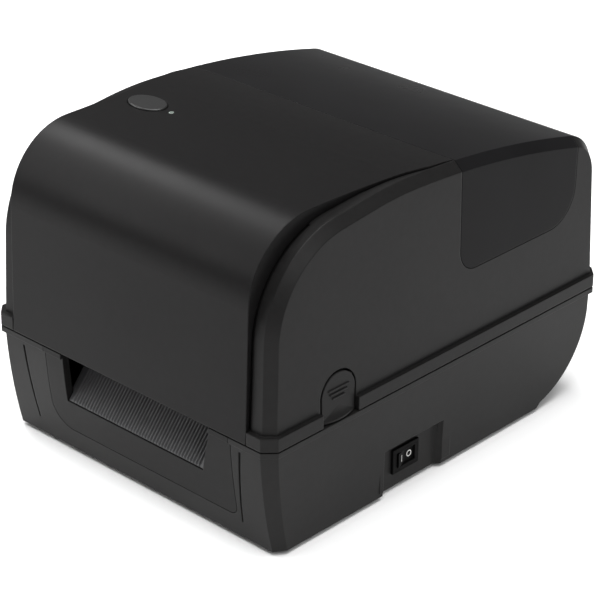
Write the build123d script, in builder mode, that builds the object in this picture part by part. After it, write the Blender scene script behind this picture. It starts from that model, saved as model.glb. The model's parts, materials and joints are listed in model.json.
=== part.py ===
from build123d import *
from math import pi, sin, cos, tan, radians, degrees, sqrt, atan2
import os

os.makedirs("parts", exist_ok=True)

# A desktop label printer of the clamshell kind: a shallow base that tapers towards the table, and a
# tall lid hinged along the rear edge. Millimetres. X runs to the right as seen from the front, Y runs
# to the rear and Z runs up. The origin is on the table, under the middle of the case.

# Overall case
case_width = 216.0
case_depth = 276.0
corner_bevel = 6.5
foot_height = 2.5
parting_height = 67.5
parting_gap = 0.8
half_width = case_width / 2
front = -case_depth / 2
rear = case_depth / 2
base_top = parting_height - parting_gap / 2
lid_bottom = parting_height + parting_gap / 2

# Base
base_wall = 2.6
floor_thickness = 2.6
rim_height = 3.2
rim_step = 1.6
side_draft = 2.0
front_sweep = 8.8
front_belly = 2.9
rear_wall_foot = parting_height - 15.5
heel_place = rear - 40.0
heel_lift = 3.0
heel_mid_place = rear - 15.5
heel_mid_height = 20.0
heel_step = 3.0

# Media path
media_centre = 5.8
media_width = 112.0
platen_overhang = 1.0

# Front panel and label exit
exit_margin = 1.8
exit_slant = 8.6
exit_left = media_centre - media_width / 2 - exit_margin
exit_right_high = media_centre + media_width / 2 + exit_margin
exit_right_low = exit_right_high - exit_slant
panel_left = -(half_width - 42.0)
panel_right = half_width - 30.0
panel_bottom = 17.0
panel_left_round = 15.0
panel_right_round = 6.0
panel_seam = 0.35
panel_flange = 3.0
panel_flange_thickness = 1.8
exit_sill = parting_height - 31.0
groove_depth = 1.0
groove_wide = 1.6
groove_slim = 0.9
groove_head = parting_height - 7.0
groove_foot = 14.0
groove_place = half_width - 23.2
groove_slant = 4.0
ramp_angle = 50.0
ramp_setback = 3.2
ramp_thickness = 2.6
ridge_pitch = 2.2
ridge_height = 0.9
cheek_thickness = 2.0

# Platen and tear bar
platen_y = front + 38.0
platen_radius = 8.0
platen_length = media_width + 2 * platen_overhang
platen_shaft_radius = 3.0
shaft_fit = 0.06
tear_bar_thickness = 0.8
tear_bar_height = 14.0
tear_tooth_pitch = 2.4
tear_tooth_depth = 1.1

# Media deck with its roll trough
deck_top = parting_height - 6.9
deck_thickness = 2.0
deck_underside = deck_top - deck_thickness
platen_z = deck_top - 1.8
deck_front = platen_y + 11.0
deck_clearance = 0.4
roll_centre_y = rear - 93.0
trough_radius = 66.0
trough_wall = 2.0
trough_half_width = media_width / 2 + 7.5
trough_lift = 3.6

# Roll holders, racks and their pinion
holder_travel = 42.0
holder_plate = 4.0
holder_plate_radius = 21.0
holder_hub_radius = 12.2
holder_hub_length = 7.0
holder_foot_width = 5.0
gear_module = 1.0
rack_pinion_teeth = 20
rack_height = 5.0
rack_backing = 5.0
slot_clearance = 0.4
running_gap = 0.3

# Media guides
guide_y = platen_y + 38.0
guide_length = 40.0
guide_height = 7.4
guide_wall = 2.0
guide_foot = 14.0
guide_key = 3.4
guide_travel = 42.0

# Printing chassis and drive
chassis_gauge = 1.6
chassis_front = front + 25.0
chassis_margin = 1.5
chassis_corner = 13.0
chassis_shoulder = platen_y + 8.5
chassis_top = platen_z + 5.2
chassis_low_top = deck_underside - 2.1
chassis_half_width = platen_length / 2 + 5.0
bushing_radius = 5.0
bushing_flange_radius = 7.0
bushing_flange = 1.2
gear_width = 5.0
gear_standoff = 3.0
platen_gear_teeth = 24
idler_gear_teeth = 36
motor_pinion_teeth = 12
tooth_backlash = 0.3
idler_fall = 53.13
motor_seat = 2.6
motor_size = 35.0
motor_length = 32.0
motor_corner = 4.0
motor_boss_radius = 11.0
motor_boss_height = 1.5

# Lid: its heights follow the top of the skin
skin_top_height = 185.0
band_height = 7.6
band_ledge = 2.0
lid_wall = 3.6
lid_bevel_edge = half_width - 7.8
lid_side_width = half_width - 2.4
lid_narrowing = 1.7
lid_front_setback = 2.4
lid_front_lean = 4.8
shoulder_height = skin_top_height - 10.9
shoulder_radius = 58.3
crown_height = skin_top_height - 1.0
crown_place = front + 97.5
crown_radius = 220.0
roof_mid_height = skin_top_height - 8.0
roof_end_height = skin_top_height - 24.9
roof_end_place = rear - 5.5
roof_mid_place = (crown_place + roof_end_place) / 2 + 6.0
rear_shoulder_radius = 25.0
side_bevel = 5.1

# Front and top skin of the lid
skin_thickness = 2.2
skin_front_lean = 4.0
skin_shoulder_radius = 43.0
skin_half_width = half_width - 17.1
skin_flare_width = half_width - 10.8
skin_flare_start = front + 46.0
skin_flare_end = front + 131.5
skin_flat_end = front + 110.0
skin_gap = 0.5
skin_bedding = 0.3
skin_groove = 1.2
skin_groove_depth = 1.6

# Saddle window
window_front = front + 150.8
window_rear = rear - 26.0
window_rear_top = rear - 21.5
window_sill = 116.5
window_rear_lean = 1.5
window_rear_rise = 38.0
window_front_round = 13.0
window_rear_round = 22.0
window_thickness = 2.0
window_gap = 0.3
window_bedding = 0.15
window_ledge = 4.0

# Hinge
hinge_inset = 4.5
hinge_height = parting_height + 4.5
knuckle_radius = 4.1
knuckle_length = 16.0
knuckle_play = 0.4
hinge_pin_radius = 1.75
hinge_pin_fit = 0.05
hinge_place = half_width - 36.0
swing_clearance = 0.8
bracket_foot = deck_underside - 0.4

# Latch tabs
latch_place = front + 53.8
latch_width = 25.0
latch_top = lid_bottom + 27.1
latch_shoulder = lid_bottom + 16.1
latch_thickness = 3.0
latch_gap = 1.2
latch_pivot_height = lid_bottom + 22.1
latch_pin_radius = 1.2
latch_pin_reach = 2.2
latch_lip = 2.3
lip_edge = 1.0
catch_gap = 0.35
scoop_height = lid_bottom + 7.6
grip_ridges = ((18.2, 16.0), (15.6, 13.4), (12.9, 9.6))
ridge_width = 1.1
ridge_proud = 0.6

# Ribbon carriage in the lid
carriage_gauge = 1.8
carriage_half_width = media_width / 2 + 10.4
supply_y = front + 100.0
rewind_y = front + 46.0
spindle_radius = 6.0
spindle_pin_radius = 3.0
spindle_flange_radius = 15.0
spindle_fins = 3
spindle_fin_height = 2.6
guide_rod_radius = 3.0
rewind_gear_teeth = 30
rewind_pinion_teeth = 12
rewind_motor_radius = 12.0
rewind_motor_length = 19.0
carriage_top = skin_top_height - 16.0
supply_z = carriage_top - 31.0
boss_radius = 5.0
head_clearance = 0.3
head_plate = 2.2
head_depth = 26.0
heat_sink_height = 16.0
head_z = platen_z + platen_radius + head_clearance
sink_z = head_z + head_plate
spring_room = 12.7
shelf_z = sink_z + heat_sink_height + spring_room
rewind_z = shelf_z + 18.0

# Feed button and light on the top skin
feed_x = -(half_width - 38.0)
feed_y = front + 86.5
feed_length = 26.0
feed_width = 18.0
feed_gap = 0.4
feed_proud = 0.9
feed_stroke = 1.2
feed_well = 1.6
light_radius = 1.6
light_offset = 19.0

# Rocker switch in its pocket
pocket_front = front + 92.0
pocket_rear = front + 137.5
pocket_top = 30.5
pocket_depth = 3.0
pocket_slant = 7.0
switch_y = front + 112.2
switch_z = 18.5
switch_length = 21.0
switch_height = 15.0
switch_frame = 1.8
switch_body_depth = 18.0
rocker_tilt = 8.0
rocker_pin_radius = 1.0

# Sockets on the main board, and the fan-fold slot in the rear wall
port_x = (half_width - 28.0, half_width - 13.5)
port_board = deck_underside - 13.6
board_thickness = 1.6
board_gap = 1.7
board_margin = 7.0
board_rear_margin = 35.0
board_reach = 76.0
board_rear_reach = 26.0
board_rear_gap = 6.4
capacitor_radius = 2.6
capacitor_height = 7.0
port_height = 11.0
port_gap = 0.3
power_width = 9.5
usb_width = 12.0
fold_slot_lift = 0.3

# Feet, screws, posts
foot_radius = 8.0
foot_recess = 1.0
foot_x = half_width - 26.0
foot_y_front = front + 34.0
foot_y_rear = rear - 60.0
screw_radius = 3.0
screw_recess = 2.0
post_radius = 4.0
post_x = half_width - 12.0

rim_bottom = base_top - rim_height
band_top = lid_bottom + band_height
hinge_y = rear - hinge_inset
floor_top = foot_height + floor_thickness
sides = (-1, 1)


def export(part, name):
    part.label = name
    export_step(part, "parts/" + name + ".step")


def mesh_phase(known_phase, known_teeth, heading, teeth):
    # where the teeth of the next wheel stand, so that they fall into the gaps of the known wheel
    lead = (known_phase - heading) % (360 / known_teeth)
    return heading + 180 - lead * known_teeth / teeth + 180 / teeth


def gear_sketch(teeth, phase, bore):
    # a spur wheel seen end on, with straight flanks at a twenty degree pressure angle
    pitch_radius = gear_module * teeth / 2
    tip = pitch_radius + gear_module
    root = pitch_radius - 1.2 * gear_module
    thick = pi * gear_module / 2 - tooth_backlash
    lean = tan(radians(20))
    outline = []
    for k in range(teeth):
        middle = radians(phase + 360 * k / teeth)
        for radius, half in (
            (root, thick / 2 + 1.2 * gear_module * lean * 0.8),
            (tip, thick / 2 - gear_module * lean),
        ):
            outline.append((radius, middle - half / radius))
        for radius, half in (
            (tip, thick / 2 - gear_module * lean),
            (root, thick / 2 + 1.2 * gear_module * lean * 0.8),
        ):
            outline.append((radius, middle + half / radius))
    with BuildSketch() as wheel:
        with BuildLine():
            Polyline([(r * cos(a), r * sin(a)) for r, a in outline], close=True)
        make_face()
        Circle(bore, mode=Mode.SUBTRACT)
    return wheel.sketch


def case_prism(bottom, top, shrink):
    # an upright prism with the plan outline of the rim and of the band
    with BuildPart() as prism:
        with BuildSketch(Plane.XY.offset(bottom)) as plan:
            Rectangle(case_width - 2 * shrink, case_depth - 2 * shrink)
            chamfer(plan.vertices(), corner_bevel - 0.586 * shrink)
        extrude(amount=top - bottom)
    return prism.part


def base_profile(inset, bevel, bottom, top):
    # side view of the base: the front falls back towards the table, the rear has a rounded heel
    near = front + rim_step + inset + bevel
    far = rear - rim_step - inset - bevel
    slope = bottom - foot_height
    with BuildSketch() as side:
        with BuildLine():
            Line((near, top), (near, rim_bottom))
            ThreePointArc(
                (near, rim_bottom),
                (near + front_belly, (rim_bottom + foot_height) / 2 + slope / 2),
                (near + front_sweep, bottom),
            )
            Line((near + front_sweep, bottom), (heel_place - inset - bevel - heel_step, bottom))
            Line(
                (heel_place - inset - bevel - heel_step, bottom),
                (heel_place - inset - bevel, bottom + heel_lift),
            )
            ThreePointArc(
                (heel_place - inset - bevel, bottom + heel_lift),
                (heel_mid_place - inset - bevel, heel_mid_height + slope),
                (far, rear_wall_foot),
            )
            Polyline((far, rear_wall_foot), (far, top), (near, top))
        make_face()
    return side.sketch


def base_form(inset, bottom, top):
    # the closed form of the base below the rim, with drafted sides and bevelled corners
    bevel = corner_bevel - 0.586 * inset
    side_place = half_width - rim_step - inset
    edge_place = side_place - bevel
    lean = atan2(side_draft, rim_bottom - foot_height)
    middle = base_profile(inset, 0, bottom, top)
    outer = base_profile(inset, bevel, bottom, top)
    flank = Plane(
        origin=(side_place, 0, rim_bottom), x_dir=(0, 1, 0), z_dir=(cos(lean), 0, -sin(lean))
    )
    with BuildPart() as form:
        with BuildSketch(Plane.YZ):
            add(middle)
        extrude(amount=edge_place)
        with BuildSketch(Plane.YZ.offset(edge_place)):
            add(middle)
        with BuildSketch(flank):
            with Locations((0, -rim_bottom)):
                add(outer)
        loft(ruled=True)
        mirror(about=Plane.YZ)
        split(bisect_by=Plane.XY.offset(bottom + 0.001), keep=Keep.TOP)
        split(bisect_by=Plane.XY.offset(top - 0.2), keep=Keep.BOTTOM)
    return form.part


def lid_profile(inset):
    # side view of the lid: a leaning front, a round shoulder, a crown, and a roof that falls away
    slope = lid_front_lean / (shoulder_height - lid_bottom)
    foot = front + lid_front_setback - slope * lid_bottom
    with BuildSketch() as side:
        with BuildLine():
            Polyline(
                (foot, 0),
                (foot + slope * shoulder_height, shoulder_height),
                (crown_place, crown_height),
            )
            ThreePointArc(
                (crown_place, crown_height),
                (roof_mid_place, roof_mid_height),
                (roof_end_place, roof_end_height),
            )
            Polyline(
                (roof_end_place, roof_end_height),
                (rear - band_ledge, band_top),
                (rear - band_ledge, 0),
                (foot, 0),
            )
        make_face()
        fillet(side.vertices().sort_by_distance((front, shoulder_height))[0], shoulder_radius)
        fillet(side.vertices().sort_by_distance((crown_place, crown_height))[0], crown_radius)
        fillet(side.vertices().sort_by_distance((rear, roof_end_height))[0], rear_shoulder_radius)
        if inset != 0:
            offset(amount=-inset, kind=Kind.INTERSECTION, mode=Mode.REPLACE)
    return side.sketch


def lid_form(inset, bottom):
    # the closed form of the lid above the given height, with broad bevels beside the roof
    edge_place = lid_bevel_edge - 0.414 * inset
    side_place = lid_side_width - inset
    lean = atan2(lid_narrowing, shoulder_height - band_top)
    middle = lid_profile(inset)
    outer = lid_profile(side_bevel + 0.414 * inset)
    # the edge of the bevel and the flank below it lean inwards alike
    edge = Plane(
        origin=(edge_place, 0, band_top), x_dir=(0, 1, 0), z_dir=(cos(lean), 0, sin(lean))
    )
    flank = edge.offset((side_place - edge_place) * cos(lean))
    with BuildPart() as form:
        with BuildSketch(Plane.YZ):
            add(middle)
        with BuildSketch(edge):
            with Locations((0, -band_top)):
                add(middle)
        with BuildSketch(flank):
            with Locations((0, -band_top)):
                add(outer)
        loft(ruled=True)
        mirror(about=Plane.YZ)
        split(bisect_by=Plane.XY.offset(bottom), keep=Keep.TOP)
    return form.part


def skin_form(inset, grow):
    # the block under the front and top skin: its own rounder profile, flared in plan towards the window
    reach = 10.0 if inset > 0 else 0.0
    low = lid_bottom - 20 - reach
    end = window_front + reach
    with BuildPart() as form:
        with BuildSketch(Plane.YZ) as side:
            with BuildLine():
                Polyline(
                    (skin_flat_end + reach, low),
                    (front, low),
                    (front, lid_bottom),
                    (front + skin_front_lean, skin_top_height),
                    (skin_flat_end, skin_top_height),
                )
                ThreePointArc(
                    (skin_flat_end, skin_top_height),
                    ((skin_flat_end + window_front) / 2, skin_top_height - 1.1),
                    (window_front, roof_at(window_front)),
                )
                Polyline(
                    (window_front, roof_at(window_front)),
                    (end + 0.01, roof_at(end + 0.01)),
                    (end + 0.01, roof_at(window_front) - 30 - reach),
                    (skin_flat_end + reach, low),
                )
            make_face()
            fillet(
                side.vertices().sort_by_distance((front + skin_front_lean, skin_top_height))[0],
                skin_shoulder_radius,
            )
            if inset != 0:
                offset(amount=-inset, kind=Kind.INTERSECTION, mode=Mode.REPLACE)
        extrude(amount=half_width, both=True)
        with BuildSketch(Plane.XY):
            add(skin_plan(grow))
        extrude(amount=2 * skin_top_height, mode=Mode.INTERSECT)
    return form.part


def skin_plan(grow):
    # plan view of the skin: straight sides at the front, then a gentle flare
    with BuildSketch() as plan:
        with BuildLine() as half:
            Line((0, front - 20), (skin_half_width, front - 20))
            Line((skin_half_width, front - 20), (skin_half_width, skin_flare_start))
            TangentArc(
                (skin_half_width, skin_flare_start), (skin_flare_width, skin_flare_end), tangent=(0, 1)
            )
            Line((skin_flare_width, skin_flare_end), (skin_flare_width, window_front - window_gap))
            Line((skin_flare_width, window_front - window_gap), (0, window_front - window_gap))
            mirror(half.line, about=Plane.YZ)
        make_face()
        if grow != 0:
            offset(amount=grow, kind=Kind.INTERSECTION, mode=Mode.REPLACE)
    return plan.sketch


def roof_at(y):
    # height of the lid roof along its rear arc
    ax, az = crown_place, crown_height
    bx, bz = roof_mid_place, roof_mid_height
    cx, cz = roof_end_place, roof_end_height
    d = 2 * (ax * (bz - cz) + bx * (cz - az) + cx * (az - bz))
    a2, b2, c2 = ax * ax + az * az, bx * bx + bz * bz, cx * cx + cz * cz
    ux = (a2 * (bz - cz) + b2 * (cz - az) + c2 * (az - bz)) / d
    uz = (a2 * (cx - bx) + b2 * (ax - cx) + c2 * (bx - ax)) / d
    radius = sqrt((ax - ux) ** 2 + (az - uz) ** 2)
    return uz + sqrt(radius**2 - (y - ux) ** 2)


def exit_outline(grow):
    # the mouth of the label exit as seen from the front, open at the top
    with BuildSketch() as mouth:
        with BuildLine():
            Polyline(
                (exit_left - grow, base_top + 10),
                (exit_left - grow, exit_sill - grow),
                (exit_right_low + grow, exit_sill - grow),
                (exit_right_high + grow, base_top),
                (exit_right_high + grow, base_top + 10),
                close=True,
            )
        make_face()
    return mouth.sketch


def panel_outline(grow):
    # the outline of the front panel as seen from the front
    with BuildSketch() as face:
        with Locations(((panel_left + panel_right) / 2, panel_bottom - grow)):
            Rectangle(
                panel_right - panel_left + 2 * grow,
                base_top + 20 - panel_bottom + grow,
                align=(Align.CENTER, Align.MIN),
            )
        low = face.vertices().sort_by(Axis.Y)[:2].sort_by(Axis.X)
        fillet(low[0], panel_left_round + grow)
        low = face.vertices().sort_by(Axis.Y)[:2].sort_by(Axis.X)
        fillet(low[-1], panel_right_round + grow)
    return face.sketch


def block(x0, x1, y0, y1, z0, z1):
    # an upright block between two corners, for pads, slots and rooms
    with BuildPart() as solid:
        with BuildSketch(Plane.XY.offset(z0)):
            with Locations(((x0 + x1) / 2, (y0 + y1) / 2)):
                Rectangle(x1 - x0, y1 - y0)
        extrude(amount=z1 - z0)
    return solid.part


def rod(x0, x1, y, z, radius):
    # a round bar lying across the printer
    with BuildPart() as solid:
        with BuildSketch(Plane.YZ.offset(x0)):
            with Locations((y, z)):
                Circle(radius)
        extrude(amount=x1 - x0)
    return solid.part


def across(sketch, x0, x1):
    # a side view drawn in YZ, given thickness between two stations across the printer
    with BuildPart() as solid:
        with BuildSketch(Plane.YZ.offset(x0)):
            add(sketch)
        extrude(amount=x1 - x0)
    return solid.part


def along(sketch, y0, y1):
    # a front view drawn in XZ, given thickness between two stations along the printer
    with BuildPart() as solid:
        with BuildSketch(Plane.XZ.offset(-y1)):
            add(sketch)
        extrude(amount=y1 - y0)
    return solid.part


def groove_outline(direction):
    # a slim tapered groove in the front of the base, as seen from the front
    with BuildSketch() as view:
        with BuildLine():
            Polyline(
                (direction * (groove_place - groove_wide / 2), groove_head),
                (direction * (groove_place + groove_wide / 2), groove_head),
                (direction * (groove_place + groove_slim / 2 - groove_slant), groove_foot),
                (direction * (groove_place - groove_slim / 2 - groove_slant), groove_foot),
                close=True,
            )
        make_face()
    return view.sketch


rack_bottom = floor_top + running_gap
rack_top = rack_bottom + rack_height
roll_centre_z = rack_top + trough_lift + trough_wall + trough_radius

# Base case: a drafted tub with a thick rim, the window for the front panel, a pocket for the switch,
# openings for the ports and the fan-fold slot
base_outer = base_form(0, foot_height, rim_bottom + 0.2)
base_inner = base_form(base_wall, floor_top, base_top + 5)
pocket_floor = half_width - rim_step - side_draft - pocket_depth
post_places = [
    (-post_x, front + 58.0),
    (post_x, front + 58.0),
    (-post_x, rear - 38.0),
    (post_x, rear - 98.0),
]
port_seat = port_board + board_thickness
slot_half = media_width / 2 + 3

groove_bed = base_form(groove_depth, foot_height, rim_bottom + 0.2)
groove_cuts = [along(groove_outline(s), front - 5, front + 20) - groove_bed for s in sides]

with BuildPart() as base_case:
    add(base_outer)
    add(case_prism(rim_bottom, base_top, 0))
    # thicker wall behind the switch pocket
    add(
        block(
            pocket_floor - base_wall,
            pocket_floor + pocket_depth + 0.5,
            pocket_front - 3,
            pocket_rear + pocket_slant + 3,
            floor_top,
            pocket_top + 4,
        )
    )
    add(base_inner, mode=Mode.SUBTRACT)
    add(
        block(
            pocket_floor - base_wall,
            pocket_floor + 1.0,
            pocket_front - 3,
            pocket_rear + pocket_slant + 3,
            floor_top - 0.5,
            pocket_top + 4,
        )
    )
    # deck posts
    with BuildSketch(Plane.XY.offset(floor_top - 0.5)):
        with Locations(post_places):
            Circle(post_radius)
    extrude(amount=deck_underside - floor_top + 0.5)
    # window for the front panel, and a groove on each side of it
    add(along(panel_outline(panel_seam), front - 5, front + 40), mode=Mode.SUBTRACT)
    for cut in groove_cuts:
        add(cut, mode=Mode.SUBTRACT)
    # pocket for the switch, open at the bottom
    with BuildSketch(Plane.XY.offset(foot_height - 1)):
        with BuildLine():
            Polyline(
                (pocket_floor, pocket_front),
                (half_width + 5, pocket_front),
                (half_width + 5, pocket_rear + pocket_slant),
                (pocket_floor + pocket_depth, pocket_rear + pocket_slant * 0.4),
                (pocket_floor, pocket_rear),
                close=True,
            )
        make_face()
    extrude(amount=pocket_top - foot_height + 1, mode=Mode.SUBTRACT)
    # opening for the switch
    add(
        block(
            pocket_floor - base_wall - 5,
            half_width,
            switch_y - switch_length / 2 + switch_frame,
            switch_y + switch_length / 2 - switch_frame,
            switch_z - switch_height / 2 + switch_frame,
            switch_z + switch_height / 2 - switch_frame,
        ),
        mode=Mode.SUBTRACT,
    )
    # fan-fold slot in the rear wall
    add(
        block(
            media_centre - slot_half,
            media_centre + slot_half,
            rear - 12,
            rear + 1,
            deck_top + fold_slot_lift,
            base_top + 1,
        ),
        mode=Mode.SUBTRACT,
    )
    # openings for the sockets
    for x, wide in ((port_x[0], power_width), (port_x[1], usb_width)):
        add(
            block(
                x - wide / 2 - port_gap, x + wide / 2 + port_gap, rear - 22, rear + 1,
                port_seat - port_gap, port_seat + port_height + port_gap,
            ),
            mode=Mode.SUBTRACT,
        )
    # relief along the rear rim for the swing of the lid
    with BuildSketch(Plane.YZ.offset(-half_width)):
        with Locations((hinge_y, hinge_height)):
            Circle(hinge_inset + swing_clearance)
        with Locations((hinge_y + 15, hinge_height - hinge_inset - swing_clearance)):
            Rectangle(30, 30, align=(Align.CENTER, Align.MIN))
    extrude(amount=case_width, mode=Mode.SUBTRACT)
    # recesses for the feet and counterbored screws in the floor
    with Locations(
        [(s * foot_x, y, foot_height) for s in sides for y in (foot_y_front, foot_y_rear)]
    ):
        Cylinder(
            foot_radius + 0.2,
            foot_recess,
            align=(Align.CENTER, Align.CENTER, Align.MIN),
            mode=Mode.SUBTRACT,
        )
    with Locations([(x, y, foot_height) for x, y in post_places]):
        Cylinder(
            screw_radius + 0.4,
            screw_recess,
            align=(Align.CENTER, Align.CENTER, Align.MIN),
            mode=Mode.SUBTRACT,
        )
export(base_case.part, "base_case")

# Front panel: fills the window of the base, follows its curved front, and frames the label exit
panel_core = base_form(
    base_wall + panel_seam + panel_flange_thickness, floor_top - 3, base_top + 9
)
with BuildPart() as front_panel:
    add(base_outer)
    add(case_prism(rim_bottom, base_top, 0))
    add(along(panel_outline(0), front - 5, front + 40), mode=Mode.INTERSECT)
    flange = base_form(base_wall + panel_seam, floor_top + panel_seam, base_top + 5) & along(
        panel_outline(panel_flange), front - 5, front + 40
    )
    add(flange)
    add(panel_core, mode=Mode.SUBTRACT)
    split(bisect_by=Plane.XY.offset(base_top), keep=Keep.BOTTOM)
    add(along(exit_outline(0), front - 5, front + 60), mode=Mode.SUBTRACT)
export(front_panel.part, "front_panel")

# Exit ramp: a ribbed chute rising from the sill of the exit to the tear bar, between two cheeks
ramp_rise = tan(radians(ramp_angle))
ramp_foot_y = front + rim_step + ramp_setback
ramp_head_z = platen_z + 2.0
ramp_head_y = ramp_foot_y + (ramp_head_z - exit_sill) / ramp_rise
cheek_front = front + rim_step + base_wall + panel_seam + panel_flange_thickness + front_belly + 0.4
ridge_count = int((exit_right_low - exit_left - 2 * cheek_thickness) / ridge_pitch)
ramp_middle = (exit_left + exit_right_low) / 2
with BuildSketch() as ridges:
    with BuildLine():
        start = ramp_middle - ridge_count * ridge_pitch / 2
        crest = [(start, 0)]
        for k in range(ridge_count):
            crest.append((start + (k + 0.25) * ridge_pitch, ridge_height))
            crest.append((start + (k + 0.5) * ridge_pitch, ridge_height))
            crest.append((start + (k + 0.75) * ridge_pitch, 0))
            crest.append((start + (k + 1) * ridge_pitch, 0))
        Polyline([(exit_left + 0.3, -ramp_thickness), (exit_left + 0.3, 0)] + crest
                 + [(exit_right_low - 0.3, 0), (exit_right_low - 0.3, -ramp_thickness)], close=True)
    make_face()
with BuildSketch() as cheek_side:
    with BuildLine():
        Polyline(
            (cheek_front, exit_sill - ramp_thickness - 1.0),
            (cheek_front, exit_sill + (cheek_front - ramp_foot_y) * ramp_rise),
            (ramp_head_y + 1.0, ramp_head_z + ramp_rise),
            (ramp_head_y + 1.0, ramp_head_z - ramp_thickness * 2.2),
            close=True,
        )
    make_face()
with BuildPart() as exit_ramp:
    along_ramp = Plane(
        origin=(0, ramp_foot_y, exit_sill + 0.3),
        x_dir=(1, 0, 0),
        z_dir=(0, -cos(radians(ramp_angle)), -sin(radians(ramp_angle))),
    )
    with BuildSketch(along_ramp):
        add(ridges.sketch)
    extrude(amount=-(ramp_head_y - ramp_foot_y) / cos(radians(ramp_angle)))
    add(across(cheek_side.sketch, exit_left - cheek_thickness + 0.3, exit_left + 0.3))
    add(across(cheek_side.sketch, exit_right_low - 0.3, exit_right_low - 0.3 + cheek_thickness))
    split(bisect_by=Plane.XZ.offset(-ramp_foot_y), keep=Keep.BOTTOM)
    split(bisect_by=Plane.XZ.offset(-(ramp_head_y + 1.0)), keep=Keep.TOP)
    add(
        block(exit_left - 9, exit_right_high + 9, front, cheek_front, 0, exit_sill + 0.2),
        mode=Mode.SUBTRACT,
    )
export(exit_ramp.part, "exit_ramp")

# Tear bar: a thin serrated steel strip standing behind the head of the ramp
tear_y = ramp_head_y + 1.3
tear_half = platen_length / 2 + 1
tooth_count = int(2 * tear_half / tear_tooth_pitch)
with BuildSketch() as serration:
    with BuildLine():
        start = media_centre - tooth_count * tear_tooth_pitch / 2
        teeth = []
        for k in range(tooth_count):
            teeth.append((start + k * tear_tooth_pitch, ramp_head_z + 2.5 - tear_tooth_depth))
            teeth.append((start + (k + 0.5) * tear_tooth_pitch, ramp_head_z + 2.5))
        teeth.append((start + tooth_count * tear_tooth_pitch, ramp_head_z + 2.5 - tear_tooth_depth))
        Polyline(
            teeth
            + [
                (media_centre + tear_half, ramp_head_z + 2.5 - tear_bar_height),
                (media_centre - tear_half, ramp_head_z + 2.5 - tear_bar_height),
            ],
            close=True,
        )
    make_face()
with BuildPart() as tear_bar:
    with BuildSketch(Plane.XZ.offset(-tear_y)):
        add(serration.sketch)
    extrude(amount=-tear_bar_thickness)
export(tear_bar.part, "tear_bar")

# Printing chassis: a folded steel channel that carries the platen bushings, the drive and the motor
plate_left = media_centre - chassis_half_width - chassis_gauge
plate_right = media_centre + chassis_half_width
idler_reach = gear_module * (platen_gear_teeth + idler_gear_teeth) / 2
idler_y = platen_y + idler_reach * cos(radians(idler_fall))
idler_z = platen_z - idler_reach * sin(radians(idler_fall))
motor_reach = gear_module * (motor_pinion_teeth + idler_gear_teeth) / 2
motor_z = floor_top + motor_seat + motor_size / 2
motor_y = idler_y + sqrt(motor_reach**2 - (idler_z - motor_z) ** 2)
chassis_rear = motor_y + motor_size / 2 + chassis_margin
chassis_floor = floor_top + 0.2
shelf_top = platen_z - platen_radius + 0.7


def chassis_plate(x0, holes):
    # one upright plate of the chassis with its open slot for the bushing
    with BuildPart() as plate:
        with BuildSketch(Plane.YZ.offset(x0)) as side:
            with BuildLine():
                Polyline(
                    (chassis_front, chassis_floor),
                    (chassis_front, platen_z - 3),
                    (chassis_front + 6, chassis_top),
                    (chassis_shoulder, chassis_top),
                    (chassis_shoulder, chassis_low_top),
                    (chassis_rear - chassis_corner, chassis_low_top),
                    (chassis_rear, chassis_low_top - chassis_corner),
                    (chassis_rear, chassis_floor),
                    close=True,
                )
            make_face()
            with Locations((platen_y, platen_z)):
                Circle(bushing_radius + 0.1, mode=Mode.SUBTRACT)
            with Locations((platen_y, platen_z)):
                Rectangle(
                    2 * bushing_radius + 0.2, 20, align=(Align.CENTER, Align.MIN), mode=Mode.SUBTRACT
                )
            for y, z, radius in holes:
                with Locations((y, z)):
                    Circle(radius, mode=Mode.SUBTRACT)
        extrude(amount=chassis_gauge)
    return plate.part


with BuildPart() as print_chassis:
    add(
        chassis_plate(
            plate_left,
            [(idler_y, idler_z, 3.0), (motor_y, motor_z, motor_boss_radius + 0.2)],
        )
    )
    add(chassis_plate(plate_right, []))
    # floor web joining the two plates, and the shelf behind the tear bar
    add(
        block(
            plate_left, plate_right + chassis_gauge, chassis_front, chassis_shoulder,
            chassis_floor, chassis_floor + chassis_gauge,
        )
    )
    add(
        block(
            plate_left, plate_right + chassis_gauge, tear_y + tear_bar_thickness,
            tear_y + tear_bar_thickness + chassis_gauge, shelf_top - 6, shelf_top,
        )
    )
    # the stud that carries the idler wheel
    add(
        rod(
            plate_left - gear_standoff - gear_width - 1, plate_left + chassis_gauge,
            idler_y, idler_z, platen_shaft_radius,
        )
    )
export(print_chassis.part, "print_chassis")

# Platen bushings: two flanged sleeves in the slots of the chassis
with BuildPart() as platen_bushings:
    for plate_x, out in ((plate_left, -1), (plate_right + chassis_gauge, 1)):
        with BuildSketch(Plane.YZ.offset(plate_x + out * 0.1)):
            with Locations((platen_y, platen_z)):
                Circle(bushing_flange_radius)
        extrude(amount=out * bushing_flange)
        with BuildSketch(Plane.YZ.offset(plate_x + out * 0.1)):
            with Locations((platen_y, platen_z)):
                Circle(bushing_radius)
        extrude(amount=-out * (chassis_gauge + 2.0))
    with BuildSketch(Plane.YZ):
        with Locations((platen_y, platen_z)):
            Circle(platen_shaft_radius + shaft_fit)
    extrude(amount=half_width, both=True, mode=Mode.SUBTRACT)
export(platen_bushings.part, "platen_bushings")

# Platen: a rubber sleeve on a steel shaft with its drive wheel
gear_near = plate_left - gear_standoff
gear_far = gear_near - gear_width
heading_idler = degrees(atan2(idler_z - platen_z, idler_y - platen_y))
heading_motor = degrees(atan2(motor_z - idler_z, motor_y - idler_y))
idler_phase = mesh_phase(heading_idler, platen_gear_teeth, heading_idler, idler_gear_teeth)
motor_phase = mesh_phase(idler_phase, idler_gear_teeth, heading_motor, motor_pinion_teeth)

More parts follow.
